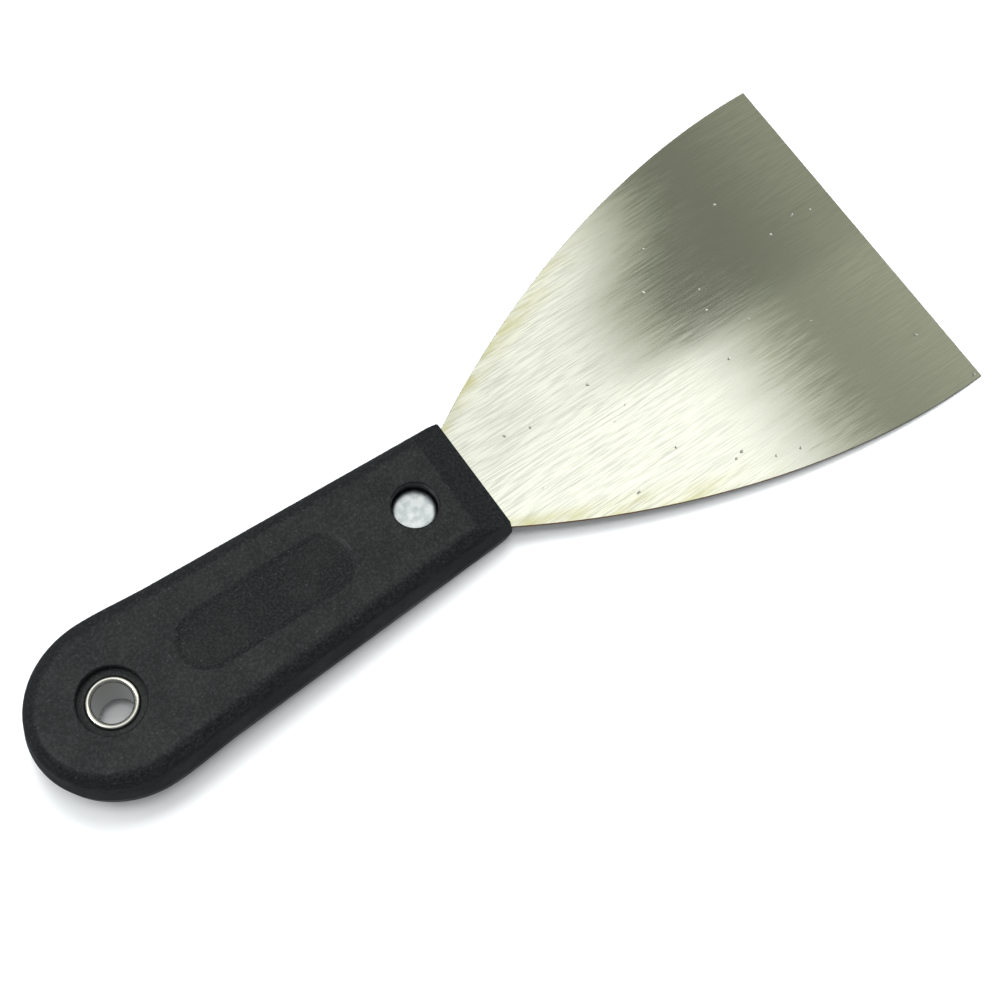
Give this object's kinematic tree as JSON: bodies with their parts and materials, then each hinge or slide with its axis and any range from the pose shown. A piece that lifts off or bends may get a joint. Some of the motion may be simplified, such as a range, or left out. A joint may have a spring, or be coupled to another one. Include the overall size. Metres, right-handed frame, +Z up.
{
  "type": "flexible putty knife",
  "caption": "Flexible putty knife: flared spring-steel blade held by a rivet and a hang-hole eyelet between two black moulded handle scales.",
  "frame": {"origin": "under the middle of the knife's length and width, on the surface that the handle's underside rests on", "axes": "+X along the knife towards the working edge, +Y across the blade, +Z up through the thickness"},
  "size_m": [0.1864, 0.075, 0.0154],
  "materials": {
    "blade_steel": "spring steel, brushed along the knife, lightly tarnished",
    "handle_polypropylene": "black moulded polypropylene with a fine spark-eroded grain",
    "rivet_aluminium": "bare aluminium, set by hammering, scuffed",
    "eyelet_nickel": "nickel-plated steel, bright on the curled rim"
  },
  "bodies": {
    "handle": {"blade_tang": "blade_steel", "upper_scale": "handle_polypropylene", "lower_scale": "handle_polypropylene", "front_rivet": "rivet_aluminium", "hang_eyelet": "eyelet_nickel"},
    "blade": {"blade_face": "blade_steel"}
  },
  "joints": [
    {"name": "blade_flex", "type": "hinge", "parent": "handle", "child": "blade", "pos_m": [0.0115, 0, 0.0077], "axis": [0, 1, 0], "range_deg": [-25, 25], "stiffness_Nm_per_rad": 4.3, "deforming": ["blade_face"]}
  ]
}
